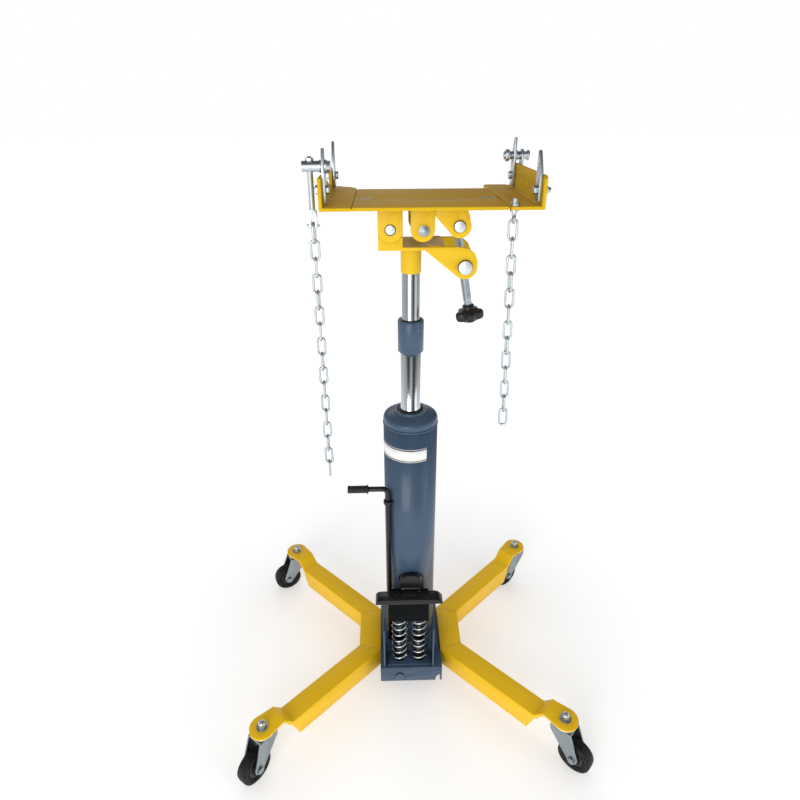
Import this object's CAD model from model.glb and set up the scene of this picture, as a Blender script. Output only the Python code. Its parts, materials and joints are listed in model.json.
# A wheeled, pedal-pumped hydraulic lift: splayed yellow legs on four casters, a blue base
# and cylinder, a chromed two-stage ram, and a tilting table with an end bracket each side.
# The ram stands on the Z axis and the floor is z = 0. The pedal is at the front (-Y) and
# the release grip on the left (-X). Meshes are written in millimetres, the stage in metres.
import bpy
import bmesh
import json
import math
import random
from mathutils import Matrix, Vector
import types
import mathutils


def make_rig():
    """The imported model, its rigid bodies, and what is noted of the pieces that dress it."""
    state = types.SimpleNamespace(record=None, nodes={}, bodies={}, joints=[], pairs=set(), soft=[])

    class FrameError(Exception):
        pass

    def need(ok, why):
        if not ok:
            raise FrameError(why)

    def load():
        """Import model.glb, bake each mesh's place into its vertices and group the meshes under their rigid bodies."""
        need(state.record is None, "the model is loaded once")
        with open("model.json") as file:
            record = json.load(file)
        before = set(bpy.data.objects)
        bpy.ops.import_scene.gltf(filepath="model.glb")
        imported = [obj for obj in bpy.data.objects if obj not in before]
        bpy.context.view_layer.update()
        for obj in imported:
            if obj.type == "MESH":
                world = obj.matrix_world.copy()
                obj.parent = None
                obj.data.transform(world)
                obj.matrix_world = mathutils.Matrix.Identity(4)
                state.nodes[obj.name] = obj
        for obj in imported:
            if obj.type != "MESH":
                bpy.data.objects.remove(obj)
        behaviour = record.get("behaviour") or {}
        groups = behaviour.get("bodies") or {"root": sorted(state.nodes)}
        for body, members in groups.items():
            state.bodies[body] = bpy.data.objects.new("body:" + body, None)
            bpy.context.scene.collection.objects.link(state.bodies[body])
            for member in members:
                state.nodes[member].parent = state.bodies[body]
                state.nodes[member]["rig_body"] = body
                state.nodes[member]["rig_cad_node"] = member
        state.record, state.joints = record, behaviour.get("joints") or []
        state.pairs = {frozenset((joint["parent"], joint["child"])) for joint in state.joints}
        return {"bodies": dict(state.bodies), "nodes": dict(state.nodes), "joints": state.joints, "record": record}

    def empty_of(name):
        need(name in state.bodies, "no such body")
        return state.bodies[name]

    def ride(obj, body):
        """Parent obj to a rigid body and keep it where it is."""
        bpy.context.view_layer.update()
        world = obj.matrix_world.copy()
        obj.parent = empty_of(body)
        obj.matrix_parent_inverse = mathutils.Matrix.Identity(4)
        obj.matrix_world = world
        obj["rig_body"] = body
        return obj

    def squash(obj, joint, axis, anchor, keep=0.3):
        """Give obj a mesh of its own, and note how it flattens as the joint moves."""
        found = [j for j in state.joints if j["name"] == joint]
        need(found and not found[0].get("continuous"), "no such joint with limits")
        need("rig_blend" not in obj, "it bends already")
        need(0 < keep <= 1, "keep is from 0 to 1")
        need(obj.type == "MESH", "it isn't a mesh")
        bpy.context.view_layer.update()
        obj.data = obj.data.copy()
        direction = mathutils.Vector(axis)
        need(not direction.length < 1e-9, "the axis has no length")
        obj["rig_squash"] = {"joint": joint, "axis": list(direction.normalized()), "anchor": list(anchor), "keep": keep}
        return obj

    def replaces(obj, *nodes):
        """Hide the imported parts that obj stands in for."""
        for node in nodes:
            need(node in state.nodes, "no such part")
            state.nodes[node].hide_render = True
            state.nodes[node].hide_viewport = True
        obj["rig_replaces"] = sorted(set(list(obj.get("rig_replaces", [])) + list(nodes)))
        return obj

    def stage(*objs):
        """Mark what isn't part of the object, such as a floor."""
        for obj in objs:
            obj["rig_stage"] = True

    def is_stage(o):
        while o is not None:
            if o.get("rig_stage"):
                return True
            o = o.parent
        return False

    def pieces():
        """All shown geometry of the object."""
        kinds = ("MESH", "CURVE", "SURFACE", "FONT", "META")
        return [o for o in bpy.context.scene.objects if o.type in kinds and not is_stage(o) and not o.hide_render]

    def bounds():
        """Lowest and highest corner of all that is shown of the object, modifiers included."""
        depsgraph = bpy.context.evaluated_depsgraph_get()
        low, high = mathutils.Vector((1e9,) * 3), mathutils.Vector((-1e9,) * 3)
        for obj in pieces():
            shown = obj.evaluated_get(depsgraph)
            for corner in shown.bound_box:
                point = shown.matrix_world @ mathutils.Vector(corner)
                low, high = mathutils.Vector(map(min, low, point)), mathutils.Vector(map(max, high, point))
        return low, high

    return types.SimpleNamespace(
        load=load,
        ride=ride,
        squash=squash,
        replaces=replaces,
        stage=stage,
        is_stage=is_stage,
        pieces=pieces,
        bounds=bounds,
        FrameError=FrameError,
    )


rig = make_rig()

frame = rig.load()
cad_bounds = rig.bounds()
pieces = frame["nodes"]
bead_random = random.Random(7)
scene = bpy.context.scene


# ---------------------------------------------------------------- shader graphs
def feed(socket, value):
    """Link an output into a socket, or set its value; colours are given as RGB."""
    if isinstance(value, bpy.types.NodeSocket):
        socket.id_data.links.new(value, socket)
    elif socket.type == "RGBA":
        socket.default_value = (*value, 1)
    else:
        socket.default_value = value


class Graph:
    """Adds nodes to one emptied node tree."""

    def __init__(self, tree, output_kind):
        self.nodes = tree.nodes
        self.nodes.clear()
        self.output = self.add(output_kind)

    def add(self, kind, inputs=None, **settings):
        node = self.nodes.new("ShaderNode" + kind)
        for key, value in settings.items():
            setattr(node, key, value)
        for key, value in (inputs or {}).items():
            feed(node.inputs[key], value)
        return node

    def ramp(self, factor, stops, interpolation="LINEAR"):
        ramp = self.add("ValToRGB", {"Fac": factor})
        ramp.color_ramp.interpolation = interpolation
        elements = ramp.color_ramp.elements
        while len(elements) < len(stops):
            elements.new(0.5)
        for element, (position, color) in zip(elements, stops):
            element.position = position
            element.color = (*color, 1)
        return ramp.outputs["Color"]

    def mix(self, factor, color_a, color_b, blend="MIX"):
        node = self.add("Mix", data_type="RGBA", blend_type=blend)
        for index, value in ((0, factor), (6, color_a), (7, color_b)):
            feed(node.inputs[index], value)
        return node.outputs[2]

    def math(self, operation, a, b=0.5, clamp=False):
        return self.add("Math", {0: a, 1: b}, operation=operation, use_clamp=clamp).outputs[0]

    def split(self, vector):
        return self.add("SeparateXYZ", {0: vector}).outputs


class Material(Graph):
    """A material with one Principled surface, textured in object coordinates."""

    def __init__(self, name):
        self.material = bpy.data.materials.new(name)
        self.material.use_nodes = True
        super().__init__(self.material.node_tree, "OutputMaterial")
        self.principled = self.add("BsdfPrincipled")
        feed(self.output.inputs[0], self.principled.outputs[0])
        self.coords = self.add("TexCoord").outputs["Object"]

    def surface(self, **values):
        """Feed Principled inputs; underscores stand for spaces."""
        for key, value in values.items():
            feed(self.principled.inputs[key.replace("_", " ")], value)

    def noise(self, scale, detail=4, rough=0.6, stretch=None, distortion=0.0):
        coords = self.coords
        if stretch:
            coords = self.add("Mapping", {"Vector": coords, "Scale": stretch}).outputs["Vector"]
        node = self.add("TexNoise", {"Scale": scale, "Detail": detail, "Roughness": rough,
                                     "Distortion": distortion, "Vector": coords})
        return node.outputs["Fac"]

    def mask(self, factor, black, white):
        return self.ramp(factor, [(black, (0, 0, 0)), (white, (1, 1, 1))])

    def remap(self, value, from_min=0.0, from_max=1.0, to_min=0.0, to_max=1.0):
        node = self.add("MapRange", {"From Min": from_min, "From Max": from_max,
                                     "To Min": to_min, "To Max": to_max, "Value": value})
        return node.outputs["Result"]

    def bump(self, height, strength, distance, normal=None):
        node = self.add("Bump", {"Strength": strength, "Distance": distance, "Height": height})
        if normal is not None:
            feed(node.inputs["Normal"], normal)
        return node.outputs["Normal"]

    def edges(self):
        """A 0..1 mask, 1 on convex or concave edges."""
        bevel = self.add("Bevel", {"Radius": 0.0012}, samples=4).outputs[0]
        normal = self.add("NewGeometry").outputs["Normal"]
        dot = self.add("VectorMath", {0: bevel, 1: normal}, operation="DOT_PRODUCT")
        bend = self.math("SUBTRACT", 1.0, dot.outputs["Value"])
        return self.remap(bend, from_min=0.02, from_max=0.16)


# ---------------------------------------------------------------- material families
def paint(name, base, dark, light, rough, coat, wear, peel=0.06, dust=(0.45, 0.42, 0.36),
          primer=(0.25, 0.24, 0.23), spec=0.5, top=None):
    """Enamel with grime, chipped edges and shaded hollows; top colours the upward faces."""
    m = Material(name)
    patches = m.noise(scale=6, detail=5, rough=0.55)
    speckle = m.noise(scale=90)
    color = m.mix(m.math("MULTIPLY", patches, 0.9, clamp=True), dark, base)
    color = m.mix(m.math("MULTIPLY", speckle, 0.25), color, light)
    if top:
        normal = m.add("NewGeometry").outputs["Normal"]
        upward = m.math("GREATER_THAN", m.split(normal)[2], 0.7)
        color = m.mix(m.math("MULTIPLY", upward, 0.85), color, top)

    grime = m.mask(m.noise(scale=14, detail=8, rough=0.7, distortion=0.6), black=0.55, white=0.8)
    color = m.mix(m.math("MULTIPLY", grime, 0.10), color, dust)

    chips = m.mask(m.noise(scale=170, detail=6, rough=0.75), black=0.50, white=0.60)
    chipped = m.math("MULTIPLY", m.edges(), chips, clamp=True)
    chipped = m.math("MULTIPLY", chipped, wear)
    color = m.mix(chipped, color, primer)

    occlusion = m.add("AmbientOcclusion", {"Distance": 0.07}, samples=6).outputs["AO"]
    hollow = m.math("MULTIPLY", m.math("SUBTRACT", 1.0, occlusion), 0.42)
    color = m.mix(hollow, color, tuple(value * 0.25 for value in dark))

    roughness = m.remap(m.noise(scale=22, detail=6, rough=0.65),
                        to_min=rough - 0.06, to_max=rough + 0.16)
    orange_peel = m.bump(m.noise(scale=420, detail=3, rough=0.5), strength=peel, distance=0.0006)
    normal = m.bump(chipped, strength=0.35, distance=-0.0003, normal=orange_peel)
    m.surface(Base_Color=color, Roughness=roughness, Specular_IOR_Level=spec,
              Coat_Weight=coat, Coat_Roughness=0.12, Normal=normal)
    return m.material


def metal(name, color_a, color_b, rough, spread, scratch, bump, stain=None, stain_amount=0.0):
    """Bare or plated metal; scratch is the noise stretch along x, y and z."""
    m = Material(name)
    color = m.mix(m.noise(scale=18, detail=6, rough=0.65), color_a, color_b)
    if stain:
        blots = m.mask(m.noise(scale=55, detail=8, rough=0.75, distortion=0.4),
                       black=0.56, white=0.74)
        color = m.mix(m.math("MULTIPLY", blots, stain_amount), color, stain)
    scratches = m.noise(scale=260, detail=3, rough=0.5, stretch=scratch)
    mottle = m.math("ADD", scratches, m.noise(scale=30, detail=5))
    roughness = m.remap(m.math("MULTIPLY", mottle, 0.5),
                        to_min=max(0.02, rough - spread), to_max=rough + spread)
    m.surface(Base_Color=color, Metallic=1.0, Roughness=roughness,
              Normal=m.bump(scratches, strength=bump, distance=0.0004))
    return m.material


def rubber(name, color_a, color_b, rough, grain, bump, dust, spec=0.4):
    """Rubber or plastic; grain is the scale of the surface noise."""
    m = Material(name)
    color = m.mix(m.noise(scale=25, detail=6, rough=0.7), color_a, color_b)
    dusty = m.mask(m.noise(scale=70, detail=8, rough=0.75), black=0.5, white=0.75)
    color = m.mix(m.math("MULTIPLY", dusty, dust), color, (0.30, 0.28, 0.25))
    roughness = m.remap(m.noise(scale=45, detail=5), to_min=rough - 0.12, to_max=rough + 0.15)
    m.surface(Base_Color=color, Roughness=roughness, Specular_IOR_Level=spec,
              Normal=m.bump(m.noise(scale=grain), strength=bump, distance=0.0004))
    return m.material


def frame_fasteners():
    """Zinc bolts, painted blue where they lie at the front."""
    m = Material("frame_fasteners")
    front = m.math("LESS_THAN", m.split(m.coords)[1], -0.09)
    zinc = m.mix(m.noise(scale=18, detail=6, rough=0.65), (0.42, 0.47, 0.50), (0.58, 0.63, 0.66))
    m.surface(Base_Color=m.mix(front, zinc, (0.055, 0.09, 0.15)),
              Metallic=m.math("SUBTRACT", 1.0, front), Roughness=0.36)
    return m.material


def blank_label():
    """Off-white label crossed by two dark lines."""
    m = Material("blank_label")
    color = m.mix(m.noise(scale=120, detail=5), (0.80, 0.81, 0.80), (0.88, 0.88, 0.86))
    height = m.split(m.coords)[2]

    def line(z, half_width):
        distance = m.math("ABSOLUTE", m.math("SUBTRACT", height, z))
        return m.math("LESS_THAN", distance, half_width)

    lines = m.math("ADD", line(z=0.6535, half_width=0.0013), line(z=0.6285, half_width=0.0010),
                   clamp=True)
    color = m.mix(lines, color, (0.03, 0.04, 0.06))
    smudges = m.mask(m.noise(scale=40, detail=8, rough=0.7), black=0.55, white=0.8)
    color = m.mix(m.math("MULTIPLY", smudges, 0.25), color, (0.35, 0.36, 0.38))
    m.surface(Base_Color=color, Roughness=0.38,
              Normal=m.bump(m.noise(scale=60), strength=0.12, distance=0.0004))
    return m.material


# ---------------------------------------------------------------- materials
YELLOW = paint(
    "yellow_enamel", base=(0.78, 0.52, 0.010), dark=(0.70, 0.44, 0.008), light=(0.86, 0.60, 0.014),
    rough=0.36, coat=0.06, wear=0.35, dust=(0.55, 0.36, 0.03), spec=0.22)
LEG_YELLOW = paint(
    "leg_enamel", base=(0.99, 0.61, 0.008), dark=(0.92, 0.53, 0.006), light=(1.0, 0.69, 0.012),
    rough=0.38, coat=0.05, wear=0.35, dust=(0.60, 0.42, 0.04), spec=0.22)
SADDLE_YELLOW = paint(
    "saddle_enamel", base=(0.70, 0.44, 0.006), dark=(0.56, 0.35, 0.006), light=(0.80, 0.53, 0.01),
    rough=0.58, coat=0.0, wear=0.55, dust=(0.34, 0.22, 0.05), spec=0.12, top=(0.60, 0.335, 0.012))
BLUE = paint(
    "blue_grey_enamel", base=(0.052, 0.095, 0.158), dark=(0.038, 0.072, 0.122),
    light=(0.070, 0.122, 0.200), rough=0.28, coat=0.14, wear=0.4,
    primer=(0.35, 0.35, 0.36), dust=(0.14, 0.19, 0.27), spec=0.3)
BLACK = paint(
    "black_enamel", base=(0.010, 0.011, 0.012), dark=(0.003, 0.003, 0.004),
    light=(0.012, 0.013, 0.014), rough=0.30, coat=0.2, wear=0.35,
    primer=(0.20, 0.20, 0.20), dust=(0.06, 0.06, 0.06), spec=0.3)
MATTE_BLACK = paint(
    "black_matte", base=(0.006, 0.008, 0.009), dark=(0.003, 0.004, 0.005),
    light=(0.010, 0.012, 0.013), rough=0.55, coat=0.0, wear=0.3,
    primer=(0.15, 0.15, 0.15), dust=(0.03, 0.03, 0.03), spec=0.04)
OILED_STEEL = metal("oiled_steel", color_a=(0.05, 0.055, 0.06), color_b=(0.10, 0.11, 0.12),
                    rough=0.35, spread=0.1, scratch=(1, 1, 6), bump=0.05)
CHROME = metal("hard_chrome", color_a=(0.62, 0.66, 0.68), color_b=(0.69, 0.73, 0.75),
               rough=0.17, spread=0.06, scratch=(1, 1, 40), bump=0.03)
ROD_CHROME = metal("rod_chrome", color_a=(0.30, 0.33, 0.335), color_b=(0.37, 0.40, 0.41),
                   rough=0.20, spread=0.06, scratch=(1, 1, 40), bump=0.03)
ZINC = metal("zinc_plate", color_a=(0.42, 0.47, 0.50), color_b=(0.58, 0.63, 0.66),
             rough=0.36, spread=0.12, scratch=(1, 1, 4), bump=0.08,
             stain=(0.22, 0.22, 0.20), stain_amount=0.30)
FORK_ZINC = metal("zinc_fork", color_a=(0.24, 0.29, 0.31), color_b=(0.38, 0.43, 0.46),
                  rough=0.36, spread=0.12, scratch=(2, 2, 5), bump=0.10,
                  stain=(0.16, 0.17, 0.18), stain_amount=0.5)
BRIGHT_ZINC = metal("zinc_bright", color_a=(0.56, 0.61, 0.63), color_b=(0.70, 0.74, 0.76),
                    rough=0.36, spread=0.10, scratch=(1, 1, 6), bump=0.06)
SPRING_WIRE = metal("spring_wire", color_a=(0.62, 0.66, 0.68), color_b=(0.80, 0.83, 0.84),
                    rough=0.24, spread=0.10, scratch=(1, 1, 1), bump=0.08,
                    stain=(0.08, 0.09, 0.10), stain_amount=0.5)
TURNED_STEEL = metal("turned_steel", color_a=(0.32, 0.36, 0.39), color_b=(0.44, 0.48, 0.51),
                     rough=0.28, spread=0.1, scratch=(1, 1, 60), bump=0.08)
TYRE = rubber("tyre_rubber", color_a=(0.004, 0.005, 0.006), color_b=(0.011, 0.012, 0.013),
              rough=0.5, grain=240, bump=0.3, dust=0.08, spec=0.25)
GRIP = rubber("grip_rubber", color_a=(0.008, 0.008, 0.009), color_b=(0.02, 0.02, 0.02),
              rough=0.5, grain=420, bump=0.3, dust=0.08)
SEAL = rubber("seal_rubber", color_a=(0.008, 0.008, 0.008), color_b=(0.02, 0.02, 0.02),
              rough=0.35, grain=200, bump=0.1, dust=0.05)
PLASTIC = rubber("knob_plastic", color_a=(0.004, 0.004, 0.005), color_b=(0.009, 0.009, 0.010),
                 rough=0.36, grain=520, bump=0.12, dust=0.03)
YELLOW_WELD = paint(
    "yellow_weld", base=(0.80, 0.47, 0.012), dark=(0.62, 0.34, 0.01), light=(0.9, 0.58, 0.03),
    rough=0.34, coat=0.2, wear=0.2, peel=0.2)
BLUE_WELD = paint(
    "blue_weld", base=(0.060, 0.090, 0.150), dark=(0.045, 0.07, 0.12), light=(0.09, 0.13, 0.2),
    rough=0.3, coat=0.25, wear=0.2, peel=0.2)
FASTENERS = frame_fasteners()
LABEL = blank_label()

# Material and the CAD pieces that wear it; every piece not named here is ZINC.
PIECE_MATERIALS = [
    (LEG_YELLOW, "leg_frame_left leg_frame_right"),
    (YELLOW, "head_socket tilt_base table_ears"),
    (SADDLE_YELLOW, "table_plate end_bracket_left end_bracket_right"),
    (BLUE, "base_pan pump_block guide_plates reservoir_tube cylinder_head gland_collar"),
    (MATTE_BLACK, "crosshead"),
    (BLACK, "rod_guide foot_plate pedal_stop release_rod foot_bolts"),
    (OILED_STEEL, "pump_barrels pump_plungers"),
    (FASTENERS, "frame_bolts"),
    (BRIGHT_ZINC, "pivot_pin upper_trunnion lower_trunnion"),
    (FORK_ZINC, "tie_bolt caster_fork_fl caster_fork_fr caster_fork_rl caster_fork_rr"),
    (TURNED_STEEL, "tilt_screw"),
    (ROD_CHROME, "stage2_rod"),
    (CHROME, "stage1_tube pressure_tube stage1_piston"),
    (SEAL, "head_wiper gland_wiper"),
    (GRIP, "release_grip"),
    (TYRE, "caster_wheel_fl caster_wheel_fr caster_wheel_rl caster_wheel_rr"),
    (PLASTIC, "tilt_knob"),
    (LABEL, "label_plate"),
    (SPRING_WIRE, "return_springs"),
]
# Bevel width in mm and the CAD pieces that have it; other pieces are left sharp.
PIECE_BEVELS = [
    (0.3, "stage2_rod head_wiper gland_wiper"),
    (0.4, "bracket_bolts_left bracket_bolts_right tilt_screw"),
    (0.5, "arm_front_left arm_rear_left arm_front_right arm_rear_right caster_stems tie_bolt "
          "tension_bolt_left head_socket"),
    (0.6, "tension_pin_left tension_pin_right filler_plug frame_bolts gland_collar foot_bolts "
          "release_grip"),
    (0.7, "rod_guide"),
    (0.8, "table_plate tilt_base table_ears guide_plates pivot_pin upper_trunnion "
          "lower_trunnion caster_fork_fl caster_fork_fr caster_fork_rl caster_fork_rr"),
    (0.9, "end_bracket_left end_bracket_right"),
    (1.0, "pedal_stop"),
    (1.2, "pump_block crosshead"),
    (1.5, "base_pan foot_plate"),
    (1.6, "leg_frame_left leg_frame_right"),
]


def by_piece(table):
    return {piece: value for value, names in table for piece in names.split()}


# ---------------------------------------------------------------- CAD pieces
def dress(piece, material, bevel_width):
    """Give a CAD piece its material, welded vertices and, if asked, bevelled edges."""
    piece.data.materials.clear()
    piece.data.materials.append(material)
    weld = piece.modifiers.new("weld", "WELD")
    weld.merge_threshold = 0.00002
    if bevel_width is None:
        return
    flat = piece.modifiers.new("flat", "DECIMATE")
    flat.decimate_type = "DISSOLVE"
    flat.angle_limit = math.radians(1.2)
    bevel = piece.modifiers.new("bevel", "BEVEL")
    bevel.width = bevel_width / 1000
    bevel.segments = 2
    bevel.limit_method = "ANGLE"
    bevel.angle_limit = math.radians(38)
    bevel.use_clamp_overlap = True
    bevel.miter_outer = "MITER_ARC"


def shade_smooth(obj, angle):
    """Smooth the faces that meet at less than angle degrees."""
    for polygon in obj.data.polygons:
        polygon.use_smooth = True
    bpy.context.view_layer.objects.active = obj
    for other in bpy.context.selected_objects:
        other.select_set(False)
    obj.select_set(True)
    # The operator loads a bundled node group; where that is missing, all stays smooth.
    try:
        bpy.ops.object.shade_auto_smooth(angle=math.radians(angle))
    except Exception:
        pass


materials = by_piece(PIECE_MATERIALS)
bevels = by_piece(PIECE_BEVELS)
for name, piece in pieces.items():
    dress(piece, materials.get(name, ZINC), bevels.get(name))
for piece in pieces.values():
    if piece.data.has_custom_normals:
        bpy.context.view_layer.objects.active = piece
        with bpy.context.temp_override(object=piece, active_object=piece,
                                       selected_objects=[piece]):
            bpy.ops.mesh.customdata_custom_splitnormals_clear()
    shade_smooth(piece, 32)


# ---------------------------------------------------------------- mesh helpers (mm)
def add_mesh(name, verts, faces, material, body, smooth=None):
    """Build a mesh that rides on a body; smooth is an angle in degrees, None is flat."""
    mesh = bpy.data.meshes.new(name)
    mesh.from_pydata([(x / 1000, y / 1000, z / 1000) for x, y, z in verts], [], faces)
    bm = bmesh.new()
    bm.from_mesh(mesh)
    bmesh.ops.remove_doubles(bm, verts=bm.verts, dist=1e-6)
    bmesh.ops.recalc_face_normals(bm, faces=bm.faces)
    bm.to_mesh(mesh)
    bm.free()
    obj = bpy.data.objects.new(name, mesh)
    scene.collection.objects.link(obj)
    mesh.materials.append(material)
    if smooth is not None:
        shade_smooth(obj, smooth)
    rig.ride(obj, body)
    return obj


def basis(direction):
    """The unit direction and two unit vectors square to it."""
    along = Vector(direction).normalized()
    helper = Vector((0, 0, 1)) if abs(along.z) < 0.9 else Vector((1, 0, 0))
    u = along.cross(helper).normalized()
    return along, u, along.cross(u).normalized()


def skin(rings, sides, closed=False, start=0):
    """Faces joining consecutive rings of vertices, capped at both ends unless closed."""
    faces = []
    for i in range(rings if closed else rings - 1):
        here = start + i * sides
        there = start + (i + 1) % rings * sides
        for j in range(sides):
            k = (j + 1) % sides
            faces.append((here + j, here + k, there + k, there + j))
    if not closed:
        last = start + (rings - 1) * sides
        faces.append(tuple(range(start, start + sides)))
        faces.append(tuple(last + j for j in reversed(range(sides))))
    return faces


def lathe(name, profile, at, axis, material, body, segments=48, smooth=35, lobes=None):
    """Revolve a closed profile of (radius, distance along the axis) about the axis at a point.

    lobes(angle, radius) scales the radius.
    """
    along, u, v = basis(axis)
    at = Vector(at)
    verts = []
    for i in range(segments):
        angle = 2 * math.pi * i / segments
        for radius, z in profile:
            scaled = radius * (lobes(angle, radius) if lobes else 1)
            out = (u * math.cos(angle) + v * math.sin(angle)) * scaled
            verts.append(tuple(at + along * z + out))
    count = len(profile)
    # Profile edges that lie on the axis sweep no surface.
    faces = [face for face in skin(segments, count, closed=True)
             if max(profile[face[0] % count][0], profile[face[1] % count][0]) >= 1e-6]
    return add_mesh(name, verts, faces, material, body, smooth)


def resample(points, closed, step=1.2):
    corners = [Vector(point) for point in points]
    path = corners + [corners[0]] if closed else corners
    samples = []
    for a, b in zip(path[:-1], path[1:]):
        count = max(1, int((b - a).length / step))
        samples += [a.lerp(b, i / count) for i in range(count)]
    return samples if closed else samples + [corners[-1]]


def bead(name, points, radius, material, body, closed=False, sides=8, ripple=0.2, pitch=3.0,
         flat=1.0):
    """Round bead along a polyline, rippled every pitch mm; flat scales its height."""
    path = resample(points, closed)
    count = len(path)
    verts = []
    run = 0
    for i, point in enumerate(path):
        before = path[(i - 1) % count] if (closed or i > 0) else point
        after = path[(i + 1) % count] if (closed or i < count - 1) else point
        along = (after - before).normalized()
        u = along.cross(Vector((0, 0, 1))).normalized()
        v = u.cross(along).normalized()
        run += (point - path[i - 1]).length if i else 0
        wave = ripple * math.sin(2 * math.pi * run / pitch)
        r = radius * (1 + wave + 0.10 * (bead_random.random() - 0.5))
        if not closed and i in (0, count - 1):
            r *= 0.55
        for j in range(sides):
            t = 2 * math.pi * j / sides
            verts.append(tuple(point + u * math.cos(t) * r + v * math.sin(t) * r * flat))
    return add_mesh(name, verts, skin(count, sides, closed), material, body, smooth=60)


def circle(radius, z, count):
    angles = [math.radians(360 * i / count) for i in range(count)]
    return [(radius * math.cos(a), radius * math.sin(a), z) for a in angles]


# ---------------------------------------------------------------- weld beads
FRAME_Y = 10     # centre of the leg frame and casters
EAR_Y = 47       # each ear of the tilting head, either side of centre
# name, ring radius, z, corners, bead radius, ripple, pitch, material, body
RING_WELDS = [
    ("weld_cylinder_seam", 55.0, 693, 90, 1.7, 0.16, 3.2, BLUE_WELD, "base"),
    ("weld_cylinder_foot", 56.0, 120.4, 90, 2.6, 0.2, 4, BLUE_WELD, "base"),
    ("weld_socket_plate", 20.9, 1048.6, 48, 2.2, 0.2, 3.4, YELLOW_WELD, "head"),
]
# name, start x and end x
EAR_WELDS = [("left", -56, -18), ("right", 26, 55)]
# start x and end x
TABLE_WELDS = [(-56, -18), (-1, 36), (41, 83)]
# name, start, end, bead radius, pitch, material, body
STRAIGHT_WELDS = [
    ("weld_bracket_l", (-140.4, -122, 1133.5), (-140.4, 112, 1133.5), 0.8, 3.2,
     YELLOW_WELD, "bracket_left"),
    ("weld_bracket_r", (194.3, -122, 1133.5), (194.3, 110, 1133.5), 0.8, 3.2,
     YELLOW_WELD, "bracket_right"),
    ("weld_guide_-64", (-64.3, -96, 88.3), (-64.3, -60, 88.3), 1.5, 3, BLUE_WELD, "base"),
    ("weld_guide_52", (52.8, -96, 88.3), (52.8, -60, 88.3), 1.5, 3, BLUE_WELD, "base"),
    ("weld_block", (-63, -54.9, 88.4), (61, -54.9, 88.4), 1.7, 3.2, BLUE_WELD, "base"),
]

for name, ring, z, corners, radius, ripple, pitch, material, body in RING_WELDS:
    bead(name, circle(ring, z, corners), radius, material, body,
         closed=True, ripple=ripple, pitch=pitch)
for side in (-1, 1):
    y = EAR_Y * side - 5.3 * side
    for end, x0, x1 in EAR_WELDS:
        bead(f"weld_ear_{end}_{side}", [(x0, y, 1056), (x1, y, 1056)], 1.5, YELLOW_WELD, "head")
    y = 53.3 * side
    for i, (x0, x1) in enumerate(TABLE_WELDS):
        bead(f"weld_table_{i}_{side}", [(x0, y, 1128.3), (x1, y, 1128.3)], 1.6,
             YELLOW_WELD, "table")
for name, start, end, radius, pitch, material, body in STRAIGHT_WELDS:
    bead(name, [start, end], radius, material, body, pitch=pitch)
# Low beads across the leg mitres.
for side, letter in ((-1, "l"), (1, "r")):
    for end in (-1, 1):
        bead(f"weld_mitre_{letter}_{end}",
             [(side * 73.4, FRAME_Y + end * 61.4, 94.0), (side * 121.8, FRAME_Y + end * 49.2, 94.0)],
             1.0, YELLOW_WELD, "base", sides=6, ripple=0.12, flat=0.35)

# ---------------------------------------------------------------- casters
# Each swivel lies this far out along its leg, and this far square to it.
LEG_X, LEG_Y = 0.7219, 0.6920    # leg direction, each side of centre
LEG_REACH = 410.1
LEG_OFFSET = 27.4
SWIVEL_X = LEG_X * LEG_REACH + LEG_Y * LEG_OFFSET
SWIVEL_Y = LEG_Y * LEG_REACH - LEG_X * LEG_OFFSET
WHEEL_TRAIL = 34
WHEEL_Z = 36
HUB_FACE = 8.2
RIB_COUNT = 6
# corner: swivel x, swivel y, direction in which the wheel trails
CASTERS = {
    "fl": (-SWIVEL_X, -SWIVEL_Y + FRAME_Y, (-0.6, -0.8)),
    "fr": (SWIVEL_X, -SWIVEL_Y + FRAME_Y, (0.72, -0.69)),
    "rl": (-SWIVEL_X, SWIVEL_Y + FRAME_Y, (-0.909, -0.418)),
    "rr": (SWIVEL_X, SWIVEL_Y + FRAME_Y, (-0.80, -0.60)),
}
DOME_ARC = [math.radians(a) for a in range(80, -1, -10)]
# radius, height above the nut's foot
DOME_NUT = (
    [(0, 15)] + [(7.6 * math.cos(t), 8.2 + 6.8 * math.sin(t)) for t in DOME_ARC]
    + [(8.2, 7.6), (8.2, 7.0), (0, 7.0)])
# radius, z
RACE_LIP = [(23.4, 107.3), (24.5, 107.1), (25.1, 108.0), (25.1, 109.0), (24.5, 109.8),
            (23.4, 110.0)]
# radius, distance from the wheel's middle
HUB_RING = [(14, 8.5), (14.6, 10.3), (20.0, 10.5), (21.4, 9.2), (21.6, HUB_FACE), (14, HUB_FACE)]
# radius, half width at the foot, distance of the crest from the wheel's middle
RIB_ENDS = [(9.6, 1.5, 12.0), (14.8, 1.2, 10.2)]
RIB_FACES = [(0, 1, 3, 2), (4, 5, 7, 6), (0, 1, 5, 4), (2, 3, 7, 6), (1, 3, 7, 5), (0, 2, 6, 4)]


def hub_ribs(name, center, axis, side, body):
    """Tapered radial ribs on one face of a hub."""
    along, u, v = basis(axis)
    center = Vector(center)
    verts, faces = [], []
    for i in range(RIB_COUNT):
        t = 2 * math.pi * i / RIB_COUNT
        out = u * math.cos(t) + v * math.sin(t)
        across = u * -math.sin(t) + v * math.cos(t)
        faces += [tuple(len(verts) + j for j in face) for face in RIB_FACES]
        for radius, half_width, crest in RIB_ENDS:
            for edge in (-1, 1):
                foot = across * half_width * edge
                verts.append(tuple(center + out * radius + foot + along * side * HUB_FACE))
                verts.append(tuple(center + out * radius + foot * 0.7 + along * side * crest))
    add_mesh(name, verts, faces, PLASTIC, body)


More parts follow.
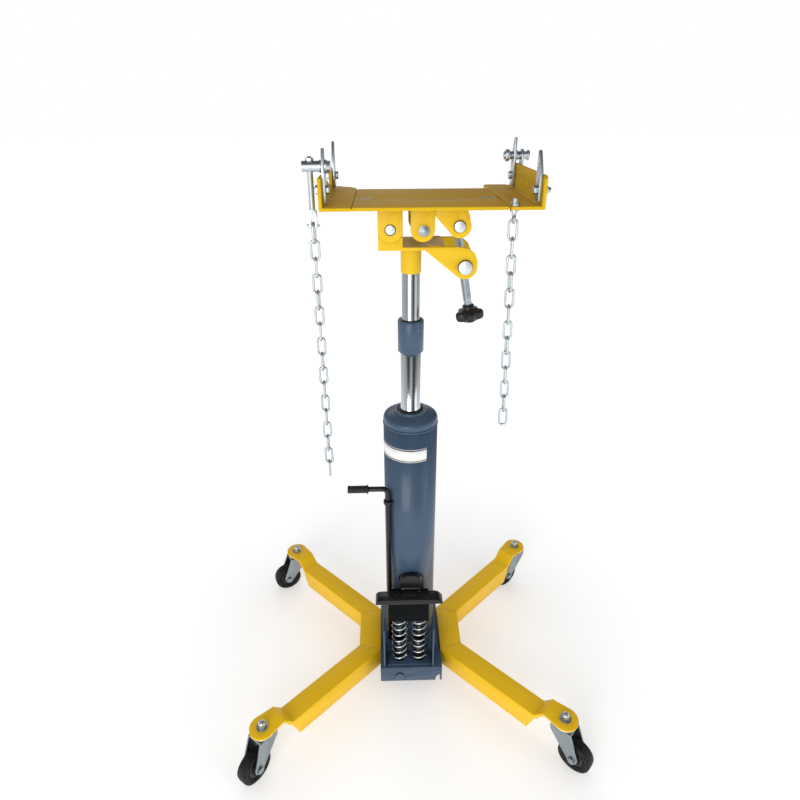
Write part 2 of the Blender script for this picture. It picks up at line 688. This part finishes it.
for corner, (x, y, _) in CASTERS.items():
    lathe("dome_nut_" + corner, DOME_NUT, (x, y, 119), (0, 0, 1), BRIGHT_ZINC, "base",
          segments=32, smooth=50)
    lathe("race_lip_" + corner, RACE_LIP, (x, y, 0), (0, 0, 1), BRIGHT_ZINC, "base",
          segments=40, smooth=50)
for corner, (x, y, trail) in CASTERS.items():
    heading = math.atan2(trail[1], trail[0])
    c, s = math.cos(heading), math.sin(heading)
    center = (x + WHEEL_TRAIL * c, y + WHEEL_TRAIL * s, WHEEL_Z)
    axle = (-s, c, 0)
    body = "wheel_" + corner
    for side in (-1, 1):
        ring = [(radius, side * z) for radius, z in HUB_RING]
        lathe(f"hub_ring_{corner}_{side}", ring, center, axle, PLASTIC, body,
              segments=40, smooth=40)
    for side in (-1, 1):
        hub_ribs(f"hub_ribs_{corner}_{side}", center, axle, side, body)

# ---------------------------------------------------------------- dark rings round the pin ends
UPPER_PIN = (79.5, 0, 1090.7)
LOWER_PIN = (92, 0, 1020.5)
# name, centre, pin radius, distance of the face from y = 0, body
PINS = [
    ("pivot", (-37, 0, 1086), 8.2, 53.0, "table"),
    ("upper", UPPER_PIN, 9.2, 53.0, "table"),
    ("lower", LOWER_PIN, 11.7, 47.0, "head"),
]
for name, center, r, face, body in PINS:
    ring = [(r - 0.1, face - 0.2), (r - 0.1, face + 0.25), (r + 1.1, face + 0.25),
            (r + 1.5, face - 0.2)]
    for side in (-1, 1):
        lathe(f"pin_gap_{name}_{side}", ring, center, (0, side, 0), BLACK, body, smooth=30)

# ---------------------------------------------------------------- tilt screw thread and knob
SCREW_AXIS = (Vector(LOWER_PIN) - Vector(UPPER_PIN)).normalized()
THREAD_START = 26        # from the upper pin, along the screw
THREAD_LENGTH = 118
THREAD_PITCH = 2.5
THREAD_RADIUS = 7.5
THREAD_SINK = 0.15       # root below the shank's surface
THREAD_DEPTH = 0.5
THREAD_SEGMENTS = 20
# offset along the screw in pitches, height as a share of the depth
THREAD_PROFILE = [(-0.46, 0.0), (-0.12, 1.0), (0.12, 1.0), (0.46, 0.0)]
KNOB_START = 155         # from the upper pin, along the screw
# radius, distance from KNOB_START
KNOB_PROFILE = [
    (7.6, 0), (9.6, 0), (10.8, 0.8), (11.0, 6.0), (12.2, 9.2), (18, 10.3), (21.8, 11.6),
    (23.4, 14.6), (23.6, 19), (23.2, 24.0), (21.4, 27.4), (18.4, 28.8), (15, 29.2),
    (13.9, 30.5), (12.6, 31.6), (9, 31.9), (0.0, 32), (0, 14), (7.6, 13.8),
]


def screw_thread():
    along, u, v = basis(SCREW_AXIS)
    start = Vector(UPPER_PIN) + SCREW_AXIS * THREAD_START
    steps = int(THREAD_LENGTH / THREAD_PITCH * THREAD_SEGMENTS)
    verts = []
    for i in range(steps + 1):
        t = 2 * math.pi * i / THREAD_SEGMENTS
        # The crest rises over the first turn and falls over the last.
        fade = min(1, i / THREAD_SEGMENTS, (steps - i) / THREAD_SEGMENTS)
        out = u * math.cos(t) + v * math.sin(t)
        for offset, height in THREAD_PROFILE:
            z = THREAD_PITCH * i / THREAD_SEGMENTS + offset * THREAD_PITCH
            radius = THREAD_RADIUS - THREAD_SINK + (THREAD_DEPTH * height) * fade
            verts.append(tuple(start + along * z + out * radius))
    add_mesh("screw_thread", verts, skin(steps + 1, len(THREAD_PROFILE)), TURNED_STEEL, "screw",
             smooth=30)


def star_lobes(angle, radius):
    """Five lobes that grow from radius 12 to 21."""
    return 1 + 0.155 * math.cos(5 * angle) * min(1.0, max(0.0, (radius - 12) / 9))


screw_thread()
star_knob = lathe("star_knob", [(radius, KNOB_START + z) for radius, z in KNOB_PROFILE],
                  UPPER_PIN, SCREW_AXIS, PLASTIC, "screw", segments=120, smooth=50,
                  lobes=star_lobes)
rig.replaces(star_knob, "tilt_knob")

# ---------------------------------------------------------------- ribbed release grip
GRIP_AT = (0, -40, 553)
RIB_PITCH = 3.4


def grip_profile():
    """Profile of (radius, x), grooved between its outer and inner ends."""
    profile = [(5.6, -130.5), (6.4, -132.0), (7.6, -131.6), (8.3, -130)]
    x = -128.6
    while x < -94.5:
        profile += [(8.3, x), (7.4, x + 0.7), (7.4, x + 1.7), (8.3, x + 2.4)]
        x += RIB_PITCH
    return profile + [(8.3, -93), (9.2, -92), (9.2, -89.6), (8.2, -89), (5.6, -89)]


ribbed_grip = lathe("ribbed_grip", grip_profile(), GRIP_AT, (1, 0, 0), GRIP, "release",
                    segments=40, smooth=30)
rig.replaces(ribbed_grip, "release_grip")
lathe("grip_rod_end", [(0, -128.4), (5.4, -128.4), (5.4, -127.5), (0, -127.5)], GRIP_AT,
      (1, 0, 0), BLACK, "release", segments=24)

# ---------------------------------------------------------------- ribs, rims and wear strip
# Ribs across the foot plate.
for i in range(3):
    y = -95.0 + i * 4.6
    bead(f"foot_rib_{i}", [(-60, y, 298.0), (52, y, 298.0)], 1.0, BLACK, "pedal",
         ripple=0.0, flat=0.6)

# Bright rims round the table slots.
for i, (x0, x1) in enumerate(((-92, -68), (115, 139))):
    outline = [(x0, -29), (x1, -29), (x1, -21), (x0, -21)]
    bead(f"slot_rim_{i}", [(x, y, 1133.7) for x, y in outline], 0.55, BRIGHT_ZINC, "table",
         closed=True, ripple=0.0)

# Thin steel strip at the foot of the pedal stop.
STRIP_OUTLINE = [(-22, -70.2), (22, -70.2), (22, -68.9), (-22, -68.9)]
add_mesh("stop_wear_strip", [(x, y, z) for z in (303.2, 305.0) for x, y in STRIP_OUTLINE],
         [(0, 3, 2, 1), (4, 5, 6, 7), (0, 1, 5, 4), (1, 2, 6, 5), (2, 3, 7, 6), (3, 0, 4, 7)],
         BRIGHT_ZINC, "base")

# ---------------------------------------------------------------- return springs
SPRING_X = (-26.5, 18.8)
SPRING_Y = -73
SPRING_BOTTOM, SPRING_TOP = 92.0, 224.0
SPRING_GAP = 0.1         # clearance at each end
COIL_RADIUS = 16.1
WIRE_RADIUS = 1.9
COIL_TURNS = 7
COIL_SEGMENTS = 40
WIRE_SIDES = 12


def coil_springs():
    """Two coils of wire that shorten with the pedal."""
    rise = SPRING_TOP - SPRING_BOTTOM - 2 * WIRE_RADIUS - 2 * SPRING_GAP
    steps = COIL_TURNS * COIL_SEGMENTS
    verts, faces = [], []
    for center_x in SPRING_X:
        faces += skin(steps + 1, WIRE_SIDES, start=len(verts))
        for i in range(steps + 1):
            t = 2 * math.pi * i / COIL_SEGMENTS
            out = Vector((math.cos(t), math.sin(t), 0))
            tangent = Vector((-math.sin(t) * COIL_RADIUS, math.cos(t) * COIL_RADIUS,
                              rise / COIL_TURNS / (2 * math.pi))).normalized()
            up = out.cross(tangent)
            z = SPRING_BOTTOM + WIRE_RADIUS + SPRING_GAP + rise * i / steps
            center = Vector((center_x, SPRING_Y, z)) + out * COIL_RADIUS
            for j in range(WIRE_SIDES):
                a = 2 * math.pi * j / WIRE_SIDES
                verts.append(tuple(center + out * (WIRE_RADIUS * math.cos(a))
                                   + up * (WIRE_RADIUS * math.sin(a))))
    return add_mesh("coil_springs", verts, faces, SPRING_WIRE, "base", smooth=40)


springs = coil_springs()
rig.replaces(springs, "return_springs")
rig.squash(springs, "pedal_press", (0, 0, 1), (0, 0, SPRING_BOTTOM / 1000), 0.62)

# ---------------------------------------------------------------- ram rings (radius, z)
GLAND_RING = [(24.9, 893), (25.15, 893.4), (25.15, 894.6), (24.9, 895)]
SNAP_RING = [(14.2, 1002.0), (16.8, 1001.2), (17.6, 1000.9), (17.6, 1000.7), (14.2, 1000.7)]
lathe("gland_groove_ring", GLAND_RING, (0, 0, 0), (0, 0, 1), BLUE, "ram1",
      segments=64, smooth=30)
lathe("snap_ring", SNAP_RING, (0, 0, 0), (0, 0, 1), TURNED_STEEL, "head", smooth=40)


# ---------------------------------------------------------------- stage (metres)
def floor_material():
    """Near-white floor whose glow grows away from the middle."""
    m = Material("studio_floor")
    color = m.mix(m.noise(scale=1.5, detail=3, rough=0.5), (0.93, 0.93, 0.93), (0.96, 0.96, 0.955))
    distance = m.add("VectorMath", {0: m.coords}, operation="LENGTH").outputs["Value"]
    glow = m.remap(distance, from_min=0.45, from_max=1.3, to_min=0.36, to_max=0.60)
    m.surface(Base_Color=color, Roughness=0.85, Specular_IOR_Level=0.1,
              Emission_Color=(1, 1, 1), Emission_Strength=glow)
    return m.material


def studio_floor(size):
    material = floor_material()
    mesh = bpy.data.meshes.new("studio_floor")
    h = size / 2
    mesh.from_pydata([(-h, -h, 0), (h, -h, 0), (h, h, 0), (-h, h, 0)], [], [(0, 1, 2, 3)])
    floor = bpy.data.objects.new("studio_floor", mesh)
    scene.collection.objects.link(floor)
    mesh.materials.append(material)
    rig.stage(floor)


# Position on the ramp and brightness.
# Across X, from -1 to 1: dark bands for the metal to reflect.
REFLECTED_BANDS = [(0.0, 0.95), (0.16, 0.80), (0.28, 0.10), (0.37, 0.06), (0.44, 0.55),
                   (0.50, 1.0), (0.60, 0.85), (0.68, 0.12), (0.80, 0.05), (0.92, 0.55),
                   (1.0, 0.95)]
# Up Z, from the horizon: diffuse light, then the fade of the reflected bands.
DIFFUSE_FADE = [(0.0, 0.62), (0.45, 0.52), (1.0, 0.40)]
REFLECTED_FADE = [(0.0, 0.95), (0.5, 0.6), (1.0, 0.25)]


def studio_world():
    """White to the camera, banded to reflections, softly graded to diffuse light."""
    world = bpy.data.worlds.new("studio")
    scene.world = world
    world.use_nodes = True
    g = Graph(world.node_tree, "OutputWorld")
    direction = g.split(g.add("TexCoord").outputs["Generated"])
    rays = g.add("LightPath").outputs

    def fade(factor, stops):
        # Very slightly blue.
        return g.ramp(factor, [(p, (v, v, v * 1.01)) for p, v in stops], interpolation="EASE")

    across = g.add("Math", {0: direction["X"], 1: 0.5, 2: 0.5}, operation="MULTIPLY_ADD")
    bands = fade(across.outputs[0], REFLECTED_BANDS)
    diffuse = fade(direction["Z"], DIFFUSE_FADE)
    glossy = g.mix(1.0, bands, fade(direction["Z"], REFLECTED_FADE), blend="MULTIPLY")
    color = g.mix(rays["Is Glossy Ray"], diffuse, glossy)
    color = g.mix(rays["Is Camera Ray"], color, (1.0, 1.0, 1.0))
    background = g.add("Background", {"Color": color, "Strength": 1.0})
    feed(g.output.inputs[0], background.outputs[0])


def area_light(name, location, target, size, power, color=(1, 1, 1)):
    light = bpy.data.lights.new(name, "AREA")
    light.shape = "RECTANGLE"
    light.size, light.size_y = size
    light.energy = power
    light.color = color
    obj = bpy.data.objects.new(name, light)
    scene.collection.objects.link(obj)
    obj.location = location
    aim = Vector(target) - Vector(location)
    obj.rotation_euler = aim.to_track_quat("-Z", "Y").to_euler()


def studio_camera(location, tilt, yaw, roll):
    """Camera looking along +Y, tilted down and rolled; then all is turned by -yaw about Z."""
    data = bpy.data.cameras.new("camera")
    data.sensor_width = 36
    data.lens = 26.040807
    data.shift_y = -0.020735125
    data.clip_end = 50
    camera = bpy.data.objects.new("camera", data)
    scene.collection.objects.link(camera)
    turn = Matrix.Rotation(-yaw, 3, "Z")
    forward = Vector((0, math.cos(tilt), -math.sin(tilt)))
    right = Vector((1, 0, 0))
    up = right.cross(forward)
    rolled_right = right * math.cos(roll) + up * math.sin(roll)
    rolled_up = -right * math.sin(roll) + up * math.cos(roll)
    axes = Matrix((turn @ rolled_right, turn @ rolled_up, turn @ (-forward)))
    pose = axes.transposed().to_4x4()
    pose.translation = turn @ location
    camera.matrix_world = pose
    scene.camera = camera


studio_floor(size=60)
studio_world()
area_light("key", location=(-0.9, -2.6, 1.25), target=(0, 0, 0.5), size=(1.6, 1.6), power=32,
           color=(1.0, 0.985, 0.96))
area_light("fill", location=(2.6, -1.6, 1.2), target=(0, 0, 0.6), size=(1.4, 1.8), power=10,
           color=(0.96, 0.98, 1.0))
area_light("rim", location=(-0.6, 2.8, 2.2), target=(0, 0, 0.7), size=(1.6, 1.2), power=8)
studio_camera(location=Vector((-20.9045, -1035.953, 1270.6488)) / 1000,
              tilt=math.radians(25.4828), yaw=math.radians(1.31227),
              roll=math.radians(-0.30314))
scene.view_settings.view_transform = "Standard"
scene.view_settings.look = "None"

json.dump({"cad": [[float(v) for v in p] for p in cad_bounds],
           "visual": [[float(v) for v in p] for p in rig.bounds()]},
          open("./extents.json", "w"))
